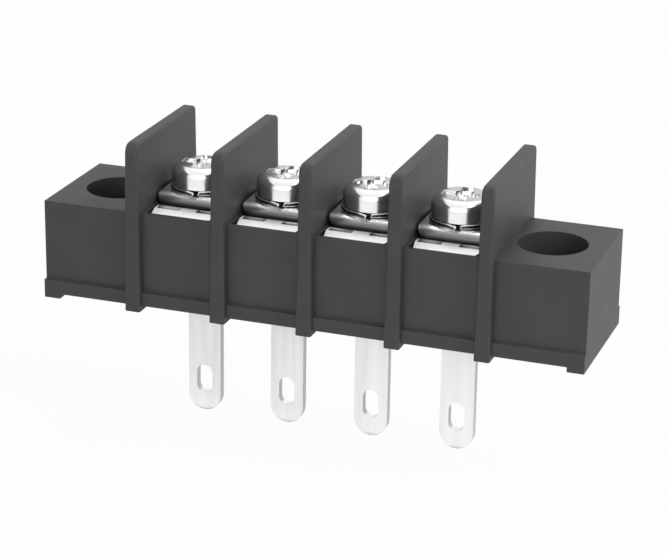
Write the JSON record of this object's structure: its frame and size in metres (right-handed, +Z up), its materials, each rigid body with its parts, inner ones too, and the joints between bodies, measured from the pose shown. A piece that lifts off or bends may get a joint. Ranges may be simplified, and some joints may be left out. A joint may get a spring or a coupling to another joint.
{
  "type": "solder terminal block",
  "caption": "Barrier terminal strip with screw clamps between upright plates, mounting ears and solder lugs below.",
  "frame": {"origin": "middle of the plane that the feet stand on, under the middle barrier", "axes": "+X along the row of poles, +Y to the rear, +Z up along the screws"},
  "size_m": [0.0588, 0.0162, 0.032],
  "materials": {
    "housing": "fine matt moulded surface",
    "tinned_strip": "bright tin plate",
    "plated_clamp": "smooth nickel plate",
    "spring_washer": "smooth nickel plate",
    "plated_screw": "bright nickel plate"
  },
  "bodies": {
    "block": {"housing": "housing", "terminal_lug_1": "tinned_strip", "terminal_lug_2": "tinned_strip", "terminal_lug_3": "tinned_strip", "terminal_lug_4": "tinned_strip"},
    "clamp_1": {"wire_clamp_1": "plated_clamp", "lock_washer_1": "spring_washer"},
    "screw_1": {"terminal_screw_1": "plated_screw"},
    "clamp_2": {"wire_clamp_2": "plated_clamp", "lock_washer_2": "spring_washer"},
    "screw_2": {"terminal_screw_2": "plated_screw"},
    "clamp_3": {"wire_clamp_3": "plated_clamp", "lock_washer_3": "spring_washer"},
    "screw_3": {"terminal_screw_3": "plated_screw"},
    "clamp_4": {"wire_clamp_4": "plated_clamp", "lock_washer_4": "spring_washer"},
    "screw_4": {"terminal_screw_4": "plated_screw"}
  },
  "joints": [
    {"name": "clamp_1_lift", "type": "slide", "parent": "block", "child": "clamp_1", "axis": [0, 0, 1], "range_m": [0, 0.003]},
    {"name": "screw_1_turn", "type": "hinge", "parent": "clamp_1", "child": "screw_1", "pos_m": [-0.01425, 0, 0.01245], "axis": [0, 0, 1], "range_deg": [0, 1800]},
    {"name": "clamp_2_lift", "type": "slide", "parent": "block", "child": "clamp_2", "axis": [0, 0, 1], "range_m": [0, 0.003]},
    {"name": "screw_2_turn", "type": "hinge", "parent": "clamp_2", "child": "screw_2", "pos_m": [-0.00475, 0, 0.01245], "axis": [0, 0, 1], "range_deg": [0, 1800]},
    {"name": "clamp_3_lift", "type": "slide", "parent": "block", "child": "clamp_3", "axis": [0, 0, 1], "range_m": [0, 0.003]},
    {"name": "screw_3_turn", "type": "hinge", "parent": "clamp_3", "child": "screw_3", "pos_m": [0.00475, 0, 0.01245], "axis": [0, 0, 1], "range_deg": [0, 1800]},
    {"name": "clamp_4_lift", "type": "slide", "parent": "block", "child": "clamp_4", "axis": [0, 0, 1], "range_m": [0, 0.003]},
    {"name": "screw_4_turn", "type": "hinge", "parent": "clamp_4", "child": "screw_4", "pos_m": [0.01425, 0, 0.01245], "axis": [0, 0, 1], "range_deg": [0, 1800]}
  ],
  "couplings": [
    {"joint": "screw_1_turn", "follows": "clamp_1_lift", "rad_per_m": 10472},
    {"joint": "screw_2_turn", "follows": "clamp_2_lift", "rad_per_m": 10472},
    {"joint": "screw_3_turn", "follows": "clamp_3_lift", "rad_per_m": 10472},
    {"joint": "screw_4_turn", "follows": "clamp_4_lift", "rad_per_m": 10472}
  ]
}
